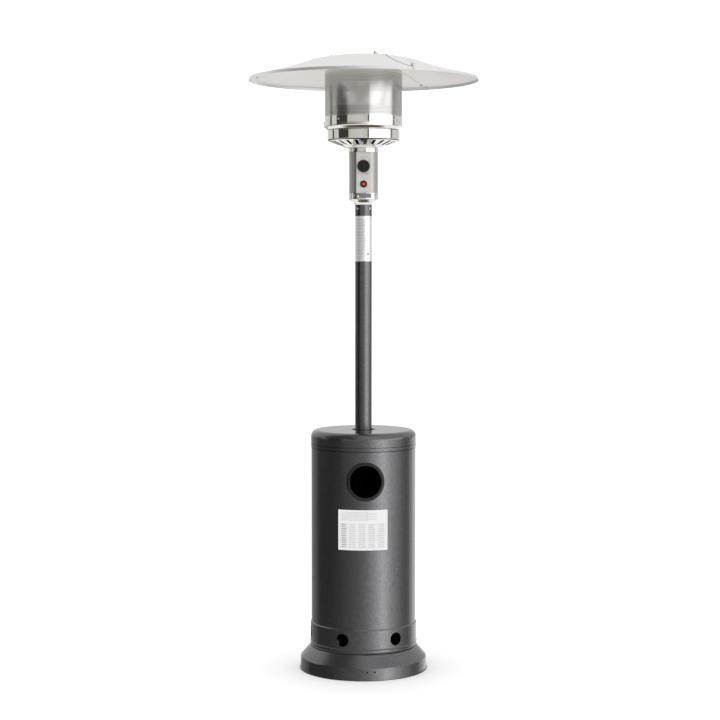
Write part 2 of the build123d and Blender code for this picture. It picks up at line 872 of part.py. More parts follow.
def burner_bowl():
    sheet = bowl_sheet
    outer_r = bowl_d / 2
    floor_r = bowl_floor_d / 2
    bore = tube_d / 2 + lead_hole_fit
    points = [
        (bore, bowl_h),
        (floor_r, bowl_h),
        (bowl_cone_d / 2, bowl_h + bowl_cone_h),
        (outer_r, bowl_h + bowl_edge_h),
        (outer_r, bowl_top_h),
        (collar_hole_r, bowl_top_h),
        (collar_hole_r, bowl_top_h - sheet),
        (outer_r - sheet, bowl_top_h - sheet),
        (outer_r - sheet, bowl_h + bowl_edge_h + 0.3),
        (bowl_cone_d / 2 - 0.4, bowl_h + bowl_cone_h + sheet),
        (floor_r, bowl_h + sheet),
        (bore, bowl_h + sheet),
    ]
    bowl = turned(points, [0, 20, 2, 2, 2, 0, 0, 1, 1, 1, 20, 0])
    slot = SlotOverall(slot_to_r - slot_from_r, slot_w, rotation=90)
    middle = -(slot_from_r + slot_to_r) / 2
    cutter = Pos(0, middle, bowl_h - 5) * extrude(slot, bowl_cone_h + 12)
    turns = [slot_turn + step * 360 / slot_count for step in range(slot_count)]
    bowl = drilled(bowl, cutter, turns)
    bowl = drill_leads(bowl, bowl_h - 1, bowl_h + sheet + 1)
    screw_d = head_screw_d + 2 * running_fit
    bolt = upright_hole(screw_d, bowl_screw_r(), bowl_h - 1, bowl_h + sheet + 1)
    return drilled(bowl, bolt, quarter_turns)


def lighting_hole():
    hole = radial_hole(lighting_hole_d, lighting_h(), screen_d / 2 - 6, collar_d / 2 + 6)
    return Rot(0, 0, lighting_turn) * hole


def lighting_h():
    return rivet_h() - cover_l / 2 - 1


def rivet_h():
    return collar_top_h - 17


def burner_collar():
    """Rolled ring on the bowl's top flange, with a sloping shoulder under its wall."""
    outer_r = collar_d / 2
    groove_r = bowl_d / 2 - collar_groove
    sheet = bowl_sheet
    low = bowl_top_h
    shoulder_h = low + 2.5
    wall_h = shoulder_h + collar_shoulder
    points = [
        (collar_hole_r, low),
        (groove_r, low),
        (groove_r, shoulder_h),
        (groove_r + 3, shoulder_h),
        (outer_r, wall_h),
        (outer_r, collar_top_h),
        (outer_r - sheet, collar_top_h),
        (outer_r - sheet, wall_h + 0.4),
        (groove_r + 2.4, shoulder_h + sheet),
        (groove_r - sheet, shoulder_h + sheet),
        (groove_r - sheet, low + sheet),
        (collar_hole_r, low + sheet),
    ]
    collar = turned(points)
    hole = radial_hole(head_screw_d + 2 * screw_fit, collar_top_h - 11, outer_r - 6, outer_r + 6)
    collar = drilled(collar, hole, quarter_turns)
    rivet = radial_hole(rivet_d, rivet_h(), outer_r - 6, outer_r + 6)
    return collar - lighting_hole() - Rot(0, 0, lighting_turn) * rivet


def burner_cup():
    outer_r = cup_d / 2
    low = bowl_top_h + bowl_sheet
    sheet = bowl_sheet
    return turned([
        (collar_hole_r, low),
        (outer_r, low),
        (outer_r, cup_top_h),
        (outer_r - sheet, cup_top_h),
        (outer_r - sheet, low + sheet),
        (collar_hole_r, low + sheet),
    ])


def burner_plate():
    """Pressed disc in the cup's mouth with rings of gas ports."""
    radius = cup_d / 2 - bowl_sheet - running_fit
    plate = tube(radius, 0, plate_h, plate_h + 2) + tube(radius, radius - 1.5, plate_h, cup_top_h)
    for ring, ring_r in enumerate(plate_holes_r):
        count = 12 + 6 * ring
        port = upright_hole(5, ring_r, plate_h - 1, plate_h + 4)
        plate = drilled(plate, port, [step * 360 / count for step in range(count)])
    for turn, size in zip(lead_turns(), (8, thermo_d + 2, 7)):
        hole = upright_hole(size + 2 * running_fit, pilot_r, plate_h - 1, plate_h + 4)
        plate -= Rot(0, 0, turn) * hole
    return plate


def emitter_screen():
    outer_r = screen_d / 2
    screen = tube(outer_r, outer_r - screen_sheet, collar_top_h - screen_lap, screen_top_h)
    hole = radial_hole(head_screw_d + 2 * running_fit, collar_top_h - 11, outer_r - 6, outer_r + 6)
    return drilled(screen, hole, quarter_turns) - lighting_hole()


def screen_cap():
    outer_r = screen_d / 2 - screen_sheet - screen_fit
    sheet = bowl_sheet
    low = screen_top_h - screen_cap_flange
    cap = turned([
        (0, screen_top_h),
        (outer_r, screen_top_h),
        (outer_r, low),
        (outer_r - sheet, low),
        (outer_r - sheet, screen_top_h - sheet),
        (0, screen_top_h - sheet),
    ])
    hole = upright_hole(stud_d + 2 * screw_fit, stud_r, low, screen_top_h + 1)
    return drilled(cap, hole, stud_turns)


def lighting_cover():
    """Small plate that hangs from its rivet over the lighting hole."""
    plate = SlotOverall(cover_l, cover_w, rotation=90)
    centre_down = cover_l / 2 - cover_rivet_down
    disc = Pos(0, -centre_down, 0) * extrude(plate, cover_t)
    disc -= Cylinder(rivet_d / 2 + running_fit, 4 * cover_t)
    placed = facing_out(collar_d / 2 + button_fit, rivet_h(), disc)
    return Rot(0, 0, lighting_turn) * placed


def cover_rivet():
    shank_l = button_fit + cover_t + 0.2
    rivet = Pos(0, 0, -bowl_sheet) * Cylinder(rivet_d / 2, shank_l + bowl_sheet, align=LOW)
    rivet += Pos(0, 0, shank_l) * Cylinder(rivet_d, 1.2, align=LOW)
    return Rot(0, 0, lighting_turn) * facing_out(collar_d / 2, rivet_h(), rivet)


def dome_h(radius):
    """Height of the dome's top surface inside the crease."""
    return crown_h - (crown_h - crease_h) * (radius / crease_r) ** 2


def cone_h(radius):
    """Height of the dome's top surface between the crease and the rim."""
    share = (corner_r - radius) / (corner_r - crease_r)
    straight = corner_h + (crease_h - corner_h) * share
    return straight - 4 * cone_hollow * share * (1 - share)


def dome_section(low_lift, high_lift):
    """Cross-section of the sheet between two offsets from the dome's top surface."""
    def crossing(lift):
        crown = (0, crown_h + lift)
        crown_mid = (crease_r / 2, dome_h(crease_r / 2) + lift)
        crease = (crease_r, crease_h + lift)
        cone_r = (crease_r + corner_r) / 2
        cone_mid = (cone_r, cone_h(cone_r) + lift)
        corner = (corner_r + lift, corner_h + lift)
        rim = (reflector_d / 2 + lift, rim_low_h)
        lines = ThreePointArc(crown, crown_mid, crease)
        lines += ThreePointArc(crease, cone_mid, corner)
        lines += Line(corner, rim)
        return lines, crown, rim

    high, high_crown, high_rim = crossing(high_lift)
    low, low_crown, low_rim = crossing(low_lift)
    outline = high + Line(high_rim, low_rim) + low + Line(low_crown, high_crown)
    return make_face(Plane.XZ * outline)


def dome_sector(low_lift, high_lift, from_turn, to_turn):
    section = dome_section(low_lift, high_lift)
    sector = revolve(section, Axis.Z, revolution_arc=to_turn - from_turn)
    return Rot(0, 0, from_turn - 90) * sector


def lap_h(radius):
    return dome_h(radius) if radius < crease_r else cone_h(radius)


def on_lap(shape, radius):
    """Stands a shape made along +Z square on the dome, at turn 0."""
    step = 1
    rise = lap_h(radius - step) - lap_h(radius + step)
    slope = math.degrees(math.atan2(rise, 2 * step))
    return Pos(0, -radius, lap_h(radius)) * Rot(slope, 0, 0) * shape


def reflector_panel(seam):
    sheet = reflector_sheet
    panel = dome_sector(-sheet, 0, seam, seam + 120)
    panel += dome_sector(0, sheet, seam - lap_deg, seam + lap_root_deg)
    bolt_hole = on_lap(Cylinder(seam_bolt_d / 2 + screw_fit, 20), seam_bolt_r)
    rivet_hole = on_lap(Cylinder(seam_rivet_d / 2 + screw_fit, 20), seam_rivet_r)
    for turn in (seam, seam + 120):
        panel -= Rot(0, 0, turn - lap_deg / 2) * bolt_hole
        panel -= Rot(0, 0, turn - lap_deg / 2) * rivet_hole
    hole = upright_hole(stud_d + 4 * screw_fit, stud_r, crease_h - 20, crown_h + 20)
    return drilled(panel, hole, stud_turns)


def seam_bolts():
    bolt = Cylinder(seam_bolt_d / 2, seam_wing_tall * 0.7, align=LOW)
    head = Pos(0, 0, -2.4) * Cylinder(seam_bolt_d, 2.4, align=LOW)
    low = Pos(0, 0, -reflector_sheet - seam_clearance)
    placed = on_lap(low * (bolt + head), seam_bolt_r)
    return [Rot(0, 0, turn - lap_deg / 2) * placed for turn in seam_turns]


def seam_rivets():
    reach = reflector_sheet + seam_clearance
    cap = Cylinder(seam_rivet_cap / 2, seam_rivet_head, align=LOW)
    rivet = Pos(0, 0, reach) * cap + Pos(0, 0, -reach - seam_rivet_head) * cap
    rivet += Cylinder(seam_rivet_d / 2, 2 * reach)
    placed = on_lap(rivet, seam_rivet_r)
    return [Rot(0, 0, turn - lap_deg / 2) * placed for turn in seam_turns]


def clamp_seat():
    """Height of the flat washers that the three middle wing nuts press on."""
    return dome_h(stud_r - wing_hub_d / 2) + 0.1


def reflector_studs():
    bolt_l = stud_top_h - (screen_top_h - bowl_sheet)
    stud = Rot(180, 0, 0) * hex_bolt(stud_d, bolt_l, leg_bolt_hex, leg_bolt_head)
    return copies(Pos(0, -stud_r, screen_top_h - bowl_sheet) * stud, stud_turns)


def stud_spacers():
    high = dome_h(stud_r + spacer_d / 2) - reflector_sheet - 0.1
    spacer = tube(spacer_d / 2, stud_d / 2 + screw_fit, screen_top_h, high)
    return copies(Pos(0, -stud_r, 0) * spacer, stud_turns)


def wing_nuts():
    washer = tube(wing_hub_d / 2, stud_d / 2 + running_fit, 0, clamp_washer)
    clamp = washer + Pos(0, 0, clamp_washer) * wing_nut(stud_d, stud_wing_tall)
    nuts = copies(Pos(0, -stud_r, clamp_seat()) * clamp, stud_turns)
    nut = wing_nut(seam_bolt_d, seam_wing_tall)
    seam = on_lap(Pos(0, 0, reflector_sheet + seam_clearance) * nut, seam_bolt_r)
    return nuts + [Rot(0, 0, turn - lap_deg / 2) * seam for turn in seam_turns]


def window_cut(diameter):
    hole = radial_hole(diameter, window_h, tank_d / 2 - 30, tank_d / 2 + 30)
    return Rot(0, 0, window_turn) * hole


def tank_cylinder():
    outer_r = tank_d / 2
    low = ring_top_h - tank_spigot
    bead_top = ring_top_h + tank_bead_h
    wall = turned([
        (outer_r, low),
        (outer_r, ring_top_h),
        (outer_r + tank_bead, ring_top_h),
        (outer_r + tank_bead, bead_top),
        (outer_r, bead_top + tank_bead),
        (outer_r, tank_join_h + lid_lap),
        (outer_r - tank_sheet, tank_join_h + lid_lap),
        (outer_r - tank_sheet, low),
    ])
    return wall - window_cut(window_d + 2 * trim_lip)


def tank_lid():
    inner_r = tank_d / 2 + lid_fit
    outer_r = inner_r + lid_sheet
    under = lid_top_h - lid_sheet
    points = [
        (inner_r, tank_join_h),
        (outer_r, tank_join_h),
        (outer_r, lid_top_h),
        (lid_hole_d / 2, lid_top_h),
        (lid_hole_d / 2, under),
        (inner_r, under),
    ]
    lid = turned(points, [0, 0, lid_edge_r, 0, 0, lid_edge_r - lid_sheet])
    for height in (tank_join_h + 2, tank_join_h + 12):
        groove = tube(outer_r + 1, outer_r - lid_groove, height, height + lid_groove_w)
        lid -= groove
    return lid


def window_trim():
    """Push-in edging of the hand opening: a lip through the wall and a flange on it."""
    wall_r = tank_d / 2
    hole_r = window_d / 2
    shell = tube(wall_r + trim_t, wall_r, window_h - window_d, window_h + window_d)
    flange = shell & window_cut(window_d + 2 * trim_flange_w)
    inner = tube(wall_r + trim_t, wall_r - trim_t, window_h - window_d, window_h + window_d)
    lip = inner & window_cut(window_d + 2 * trim_lip - 2 * running_fit)
    return (flange + lip) - window_cut(2 * hole_r)


def rating_label():
    arc = math.degrees(rating_w / (tank_d / 2))
    high = rating_low + rating_h
    return arc_patch(tank_d / 2, foil_t, rating_low, high, arc, rating_turn)


nodes = {
    "base_pan": base_pan(),
    "base_weight": base_weight(),
    "vent_ring": vent_ring(),
    "ring_screws": ring_screws(),
    "leg_bolts": leg_bolts(),
    "leg_nuts": leg_nuts(),
    "post": post(),
    "post_bushing": post_bushing(),
    "post_label": post_label(),
    "post_screws": post_screws(),
    "gas_pipe": gas_pipe(),
    "inlet_fitting": inlet_fitting(),
    "neck_cone": neck_cone(),
    "lower_cap": lower_cap(),
    "control_shell": control_shell(),
    "control_panel": control_panel(),
    "upper_cap": upper_cap(),
    "head_screws": head_screws(),
    "caution_plate": caution_plate(),
    "valve_body": valve_body(),
    "valve_screws": valve_screws(),
    "knob": knob(),
    "knob_pointer": knob_pointer(),
    "valve_stem": valve_stem(),
    "stem_washer": stem_washer(),
    "igniter_body": igniter_body(),
    "igniter_bezel": igniter_bezel(),
    "igniter_button": igniter_button(),
    "injector": injector(),
    "mixing_tube": mixing_tube(),
    "tilt_switch": tilt_switch(),
    "pilot_tube": pilot_tube(),
    "thermocouple": thermocouple(),
    "igniter_lead": igniter_lead(),
    "electrode": electrode(),
    "pilot_burner": pilot_burner(),
    "burner_bowl": burner_bowl(),
    "burner_collar": burner_collar(),
    "burner_cup": burner_cup(),
    "burner_plate": burner_plate(),
    "emitter_screen": emitter_screen(),
    "screen_cap": screen_cap(),
    "lighting_cover": lighting_cover(),
    "cover_rivet": cover_rivet(),
    "reflector_studs": reflector_studs(),
    "stud_spacers": stud_spacers(),
    "wing_nuts": wing_nuts(),
    "seam_bolts": seam_bolts(),
    "seam_rivets": seam_rivets(),
    "tank_cylinder": tank_cylinder(),
    "tank_lid": tank_lid(),
    "window_trim": window_trim(),
    "rating_label": rating_label(),
}
for number, turn in enumerate(leg_turns, start=1):
    nodes[f"support_leg_{number}"] = support_leg(turn)
for number, turn in enumerate(seam_turns, start=1):
    nodes[f"reflector_panel_{number}"] = reflector_panel(turn)

os.makedirs("parts", exist_ok=True)
for name, shape in nodes.items():
    solid = Compound(children=shape) if isinstance(shape, list) else shape
    export_step(solid, f"parts/{name}.step")
print(f"{len(nodes)} nodes written")
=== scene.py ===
import json
import math

import bpy
import bmesh
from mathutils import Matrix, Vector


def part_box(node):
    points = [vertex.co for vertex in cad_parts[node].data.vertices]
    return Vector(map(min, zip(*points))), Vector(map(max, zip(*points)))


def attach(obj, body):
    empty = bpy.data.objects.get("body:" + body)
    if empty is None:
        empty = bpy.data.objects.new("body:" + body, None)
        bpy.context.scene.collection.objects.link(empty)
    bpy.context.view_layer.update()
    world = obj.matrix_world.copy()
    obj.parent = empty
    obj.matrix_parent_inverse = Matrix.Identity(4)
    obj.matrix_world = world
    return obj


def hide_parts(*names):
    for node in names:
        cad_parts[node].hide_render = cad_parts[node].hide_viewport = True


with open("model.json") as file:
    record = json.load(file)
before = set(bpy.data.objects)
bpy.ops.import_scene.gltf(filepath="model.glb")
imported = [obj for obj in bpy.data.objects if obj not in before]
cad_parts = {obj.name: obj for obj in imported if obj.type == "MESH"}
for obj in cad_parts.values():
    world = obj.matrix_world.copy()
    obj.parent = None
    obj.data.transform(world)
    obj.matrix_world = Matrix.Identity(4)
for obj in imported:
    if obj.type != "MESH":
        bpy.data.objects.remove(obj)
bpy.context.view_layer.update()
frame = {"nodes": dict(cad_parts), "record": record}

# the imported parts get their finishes; three of them are modelled again below in more detail
nodes = frame["nodes"]
print("frame loaded:", len(nodes), "parts")


class Wire:  # a node socket that can be added, scaled and compared like a number
    def __init__(self, tree, socket=None):
        self.tree = tree
        self.socket = socket

    def node(self, kind, settings=None, sockets=None, output=0):
        made = self.tree.nodes.new(kind)
        for name, value in (settings or {}).items():
            if name == "stops":
                fillRamp(made.color_ramp, value)
            else:
                setattr(made, name, value)
        for name, value in (sockets or {}).items():
            if isinstance(value, Wire):
                self.tree.links.new(value.socket, made.inputs[name])
            else:
                made.inputs[name].default_value = value
        return Wire(self.tree, made.outputs[output])

    def maths(self, operation, first, second=0.0):
        return self.node("ShaderNodeMath", {"operation": operation}, {0: first, 1: second})

    def __add__(self, other):
        return self.maths("ADD", self, other)

    def __sub__(self, other):
        return self.maths("SUBTRACT", self, other)

    def __rsub__(self, other):
        return self.maths("SUBTRACT", other, self)

    def __mul__(self, other):
        return self.maths("MULTIPLY", self, other)

    def __truediv__(self, other):
        return self.maths("DIVIDE", self, other)

    def __gt__(self, other):
        return self.maths("GREATER_THAN", self, other)

    def __lt__(self, other):
        return self.maths("LESS_THAN", self, other)

    __radd__ = __add__
    __rmul__ = __mul__

    def most(self, other):
        return self.maths("MAXIMUM", self, other)

    def root(self):
        return self.maths("SQRT", self)

    def size(self):
        return self.maths("ABSOLUTE", self)

    def whole(self):
        return self.maths("FLOOR", self)

    def rest(self):
        return self.maths("FRACT", self)


def fillRamp(ramp, stops):
    while len(ramp.elements) < len(stops):
        ramp.elements.new(0.5)
    for element, (at, colour) in zip(ramp.elements, stops):
        element.position = at
        element.color = (*colour, 1)


def rising(value, low, high):  # 0 below low, 1 above high, smooth between
    return value.node(
        "ShaderNodeMapRange", {"interpolation_type": "SMOOTHSTEP"}, {0: value, 1: low, 2: high}
    )


def blendColour(amount, first, second):
    first = first if isinstance(first, Wire) else (*first, 1)
    second = second if isinstance(second, Wire) else (*second, 1)
    return amount.node(
        "ShaderNodeMix", {"data_type": "RGBA"}, {0: amount, 6: first, 7: second}, output=2
    )


def noise(place, scale, detail, stretch=(1, 1, 1)):
    spread = place.node("ShaderNodeMapping", sockets={"Vector": place, "Scale": stretch})
    return spread.node(
        "ShaderNodeTexNoise", sockets={"Vector": spread, "Scale": scale, "Detail": detail}
    )


def cells(place, scale):  # a random grey for each small cell
    colour = place.node("ShaderNodeTexVoronoi", sockets={"Vector": place, "Scale": scale}, output=1)
    return colour.node("ShaderNodeSeparateColor", sockets={0: colour})


def bump(height, depth, strength=1.0):
    return height.node(
        "ShaderNodeBump", sockets={"Height": height, "Distance": depth, "Strength": strength}
    )


def axisParts(place):
    parts = place.node("ShaderNodeSeparateXYZ", sockets={0: place})
    return [Wire(place.tree, parts.socket.node.outputs[axis]) for axis in range(3)]


def joined(x, y):
    return x.node("ShaderNodeCombineXYZ", sockets={0: x, 1: y})


def distance(x, y):
    return (x * x + y * y).root()


def bearing(x, y):  # radians from the front, growing to the right
    return x.maths("ARCTAN2", x, 0.0 - y)


def unrolled(place, radius):  # width round the upright axis from the front, and height
    x, y, z = axisParts(place)
    return bearing(x, y) * radius, z


def textRows(across, up, block):  # rows of dashes, no letters
    shiftX, shiftUp = block["at"]
    across = across - shiftX
    up = up - shiftUp
    inside = (across.size() < block["halfWide"]) * (up.size() < block["halfTall"])
    row = up / block["pitch"] + 0.5
    line = (row.rest() - 0.5).size() < 0.28
    dash = noise(joined(across, row.whole() * 7.31), block["letters"], 0)  # its own dashes in each row
    return inside * line * (dash > 0.47)


def makeFinish(name, fixed, pattern):
    material = bpy.data.materials.new(name)
    material.use_nodes = True
    tree = material.node_tree
    shader = tree.nodes["Principled BSDF"]
    for socket, value in fixed.items():
        shader.inputs[socket].default_value = value
    place = Wire(tree).node("ShaderNodeTexCoord", output="Object")
    for socket, wire in pattern(place).items():
        tree.links.new(wire.socket, shader.inputs[socket])
    return material


paint = {
    "dark": (0.13, 0.13, 0.134), "fleck": (0.21, 0.21, 0.216), "fleckScale": 900, "cloudScale": 90,
    "roughness": 0.21, "peelScale": 420, "peelDepth": 0.00005,
    "joints": ((0.7942, 0.0017), (0.8080, 0.0011), (0.0846, 0.0016)),  # painted shade lines: under the lid's edge, in its groove and under the vent ring's foot
    "shadeColour": (0.02, 0.02, 0.021), "shadeStrength": 0.75, "hollow": (0.004, 0.004, 0.004),
    "wideFrom": 0.1,  # the lid and the housing, not the post
    "wallRadius": 0.1856, "ringRadius": 0.1884, "ringFoot": 0.0865, "ringTop": 0.162, "lidFrom": 0.80,
}


def paintPattern(place):
    fleck = rising(cells(place, paint["fleckScale"]), 0.35, 1.0)
    cloud = noise(place, paint["cloudScale"], 3)
    colour = blendColour(fleck * (0.7 + 0.6 * cloud), paint["dark"], paint["fleck"])
    x, y, z = axisParts(place)
    reach = distance(x, y)
    wide = reach > paint["wideFrom"]
    # the inner walls of the housing and the vent ring are painted near-black: painted shade
    inWall = (reach < paint["wallRadius"]) * (z > paint["ringTop"]) * (z < paint["lidFrom"])
    inRing = (reach < paint["ringRadius"]) * (z > paint["ringFoot"]) * (z < paint["ringTop"])
    inside = wide * inWall.most(inRing)
    # dark bands painted as shade under the lid's edge, in its groove and under the ring's foot
    for height, half in paint["joints"]:
        line = ((z - height).size() < half) * wide
        colour = blendColour(line * paint["shadeStrength"], colour, paint["shadeColour"])
    return {
        "Base Color": blendColour(inside, colour, paint["hollow"]),
        "Roughness": paint["roughness"] + 0.08 * (cloud - 0.5) + 0.5 * inside,
        "Normal": bump(noise(place, paint["peelScale"], 1), paint["peelDepth"], 0.5),
    }


castIron = {
    "skin": (0.035, 0.034, 0.033), "rust": (0.09, 0.055, 0.04), "rustScale": 30,
    "gritScale": 260, "gritDepth": 0.0008, "roughness": 0.65,
}


def ironPattern(place):
    grit = noise(place, castIron["gritScale"], 4)
    rusty = rising(noise(place, castIron["rustScale"], 4), 0.5, 0.75)
    return {
        "Base Color": blendColour(rusty, castIron["skin"], castIron["rust"]),
        "Roughness": castIron["roughness"] + 0.3 * grit,
        "Normal": bump(grit, castIron["gritDepth"]),
    }


zinc = {
    "dark": (0.50, 0.50, 0.49), "light": (0.72, 0.72, 0.70), "spangleScale": 160,
    "roughness": 0.22, "stainScale": 300,
}


def zincPattern(place):
    return {
        "Base Color": blendColour(cells(place, zinc["spangleScale"]), zinc["dark"], zinc["light"]),
        "Roughness": zinc["roughness"] + 0.18 * noise(place, zinc["stainScale"], 3),
    }


polish = {
    "dark": (0.84, 0.83, 0.81), "light": (0.91, 0.905, 0.89), "roughness": 0.03, "smearScale": 14,
    "lineScale": 60, "waveScale": 22, "waveDepth": 0.00025,
}
bowl = {  # tells its bright outside from its inside, which is painted near-black as painted shade
    "floorAt": 1.856, "floorRadius": 0.060, "rise": 24 / 63.5, "sheet": 0.0006,
    "wallRadius": 0.1275, "topAt": 1.917, "innerShade": (0.012, 0.011, 0.010),
}


def polishedPattern(place):
    x, y, z = axisParts(place)
    reach = distance(x, y)
    cone = bowl["floorAt"] + (reach - bowl["floorRadius"]) * bowl["rise"]
    # the bowl's inside is painted dark: painted shade
    inside = (z > cone + bowl["sheet"]) * (z > bowl["floorAt"] + bowl["sheet"])
    inside = inside * (reach < bowl["wallRadius"]) * (z < bowl["topAt"])
    smear = noise(place, polish["smearScale"], 4)
    lines = noise(place, polish["lineScale"], 2, (1, 1, 60))
    rough = polish["roughness"] + 0.04 * rising(smear, 0.4, 0.8) + 0.015 * lines
    return {
        "Base Color": blendColour(inside, blendColour(smear, polish["dark"], polish["light"]), bowl["innerShade"]),
        "Roughness": rough + 0.5 * inside,
        "Normal": bump(noise(place, polish["waveScale"], 2), polish["waveDepth"], 0.35),
    }


brushed = {
    "dark": (0.44, 0.435, 0.42), "light": (0.64, 0.635, 0.62), "radius": 0.0512,
    "lineScale": 2600, "lineStretch": 0.012, "streakScale": 320, "streakStretch": 0.03,
    "roughness": 0.34, "lineDepth": 0.00004,
}


def brushedPattern(place):
    across, up = unrolled(place, brushed["radius"])
    brush = noise(joined(across, up * brushed["lineStretch"]), brushed["lineScale"], 3)
    streak = noise(joined(across, up * brushed["streakStretch"]), brushed["streakScale"], 2)
    return {
        "Base Color": blendColour(brush * 0.6 + streak * 0.4, brushed["dark"], brushed["light"]),
        "Roughness": brushed["roughness"] + 0.14 * brush,
        "Normal": bump(brush, brushed["lineDepth"]),
    }


panelPrint = {
    "dark": (0.66, 0.64, 0.62), "light": (0.75, 0.73, 0.71), "brushScale": 2200, "roughness": 0.36,
    "knobAt": 1.790, "red": (0.42, 0.04, 0.035), "grey": (0.20, 0.20, 0.205),
    "arcRadius": 0.0275, "arcWidth": 0.0010, "arcFrom": -0.75, "arcTo": 0.42,  # radians from straight down
    "dotAt": (0.0128, -0.0268), "dotRadius": 0.0017,
    "dashAt": (0.0115, -0.0325), "dashHalf": (0.0016, 0.0007),
    "upper": {"at": (0, 0.0335), "halfWide": 0.014, "halfTall": 0.0018, "pitch": 0.0036, "letters": 900},
    "lower": {"at": (0.010, -0.0405), "halfWide": 0.011, "halfTall": 0.0030, "pitch": 0.0032, "letters": 900},
}


def panelPattern(place):
    x, y, z = axisParts(place)
    up = z - panelPrint["knobAt"]
    brush = noise(joined(x, z * 0.02), panelPrint["brushScale"], 3)
    turn = bearing(x, up)  # 0 straight down, growing to the right
    grow = rising(turn, -0.9, 0.45)
    halfLine = panelPrint["arcWidth"] / 2 * (0.4 + grow)
    onArc = (distance(x, up) - panelPrint["arcRadius"]).size() < halfLine
    onArc = onArc * (turn > panelPrint["arcFrom"]) * (turn < panelPrint["arcTo"])
    dotX, dotUp = panelPrint["dotAt"]
    dot = distance(x - dotX, up - dotUp) < panelPrint["dotRadius"]
    dashX, dashUp = panelPrint["dashAt"]
    halfWide, halfTall = panelPrint["dashHalf"]
    dash = ((x - dashX).size() < halfWide) * ((up - dashUp).size() < halfTall)
    red = onArc.most(dot).most(dash)
    grey = textRows(x, up, panelPrint["upper"]).most(textRows(x, up, panelPrint["lower"]))
    colour = blendColour(brush, panelPrint["dark"], panelPrint["light"])
    colour = blendColour(grey * 0.5, colour, panelPrint["grey"])
    return {
        "Base Color": blendColour(red * 0.85, colour, panelPrint["red"]),
        "Roughness": panelPrint["roughness"] + 0.12 * brush,
        "Metallic": 0.6 - 0.55 * red.most(grey),
        "Normal": bump(brush, 0.00003),
    }


screenSkin = {
    "dark": (0.52, 0.515, 0.50), "light": (0.80, 0.795, 0.775), "tint": (0.60, 0.56, 0.48),
    "radius": 0.1365, "brushScale": 900, "heatFrom": 2.02, "heatTo": 2.12, "roughness": 0.16,
}


def screenPattern(place):
    across, up = unrolled(place, screenSkin["radius"])
    brush = noise(joined(across, up * 0.02), screenSkin["brushScale"], 3)
    heat = rising(up, screenSkin["heatFrom"], screenSkin["heatTo"]) * noise(place, 9, 3)
    colour = blendColour(brush, screenSkin["dark"], screenSkin["light"])
    return {
        "Base Color": blendColour(heat * 0.35, colour, screenSkin["tint"]),
        "Roughness": screenSkin["roughness"] + 0.12 * brush,
    }


seams = {
    "turn": 27, "lap": 3, "apart": 120,  # degrees
    # line is a painted shade colour along each lap edge, where the lap's gap lies in shadow
    "lapShadeWide": 0.0012, "fromRadius": 0.120, "rimRadius": 0.4045, "rimWide": 0.002,
    "line": (0.20, 0.19, 0.18), "light": (0.86, 0.855, 0.845), "dark": (0.78, 0.77, 0.76),
    "rollScale": 900, "cloudScale": 7, "roughness": 0.32, "waveDepth": 0.0012,
}


def aluminiumPattern(place):
    x, y, z = axisParts(place)
    reach = distance(x, y)
    turn = bearing(x, y) * (180 / math.pi)
    apart = seams["apart"]
    third = ((turn - seams["turn"] + seams["lap"] + apart / 2) / apart).rest() * apart - apart / 2
    edge = (third * (math.pi / 180) * reach).size()  # distance to the nearest lap's edge
    # painted shade along the lap edges, weaker at the rim
    line = (edge < seams["lapShadeWide"]) * (reach > seams["fromRadius"])
    line = line * (1 - 0.6 * rising(reach, seams["rimRadius"], seams["rimRadius"] + seams["rimWide"]))
    rolled = noise(joined(reach, turn * 0.0003), seams["rollScale"], 3)
    cloud = noise(place, seams["cloudScale"], 3)
    colour = blendColour(rolled * 0.4 + cloud * 0.6, seams["dark"], seams["light"])
    return {
        "Base Color": blendColour(line * 0.8, colour, seams["line"]),
        "Roughness": seams["roughness"] + 0.10 * cloud + 0.05 * rolled,
        "Normal": bump(rolled * 0.3 + cloud, seams["waveDepth"], 0.12),
    }


def drawnPattern(light, dark):  # tube and turned fittings
    def pattern(place):
        colour = blendColour(noise(place, 120, 4, (1, 1, 0.1)), dark, light)
        return {"Base Color": colour, "Roughness": 0.25 + 0.2 * noise(place, 400, 2)}
    return pattern


def mouldedPattern(light, dark, grain, depth, rough):
    def pattern(place):
        texture = noise(place, grain, 2)
        return {
            "Base Color": blendColour(noise(place, grain / 8, 3), dark, light),
            "Roughness": rough + 0.12 * (texture - 0.5),
            "Normal": bump(texture, depth, 0.6),
        }
    return pattern


ratingPrint = {
    "ink": (0.12, 0.12, 0.13), "paper": (0.70, 0.70, 0.71), "radius": 0.186, "turn": -0.8,
    "halfWide": 0.089, "margin": 0.006, "tableFrom": 0.335, "tableTo": 0.95,
    "column": 0.0342, "row": 0.0078, "lineInk": 0.14, "shadeInk": 0.07, "grainScale": 900,
    "headings": (
        {
            "at": (-0.030, 0.022), "halfWide": 0.048, "halfTall": 0.017, "pitch": 0.0046,
            "letters": 900, "ink": 0.36,
        },
        {
            "at": (0.030, 0.022), "halfWide": 0.018, "halfTall": 0.014, "pitch": 0.0085,
            "letters": 900, "ink": 0.24,
        },
    ),
    "entries": {"at": (0, -0.004), "halfWide": 0.078, "halfTall": 0.043, "pitch": 0.0078, "letters": 800},
}


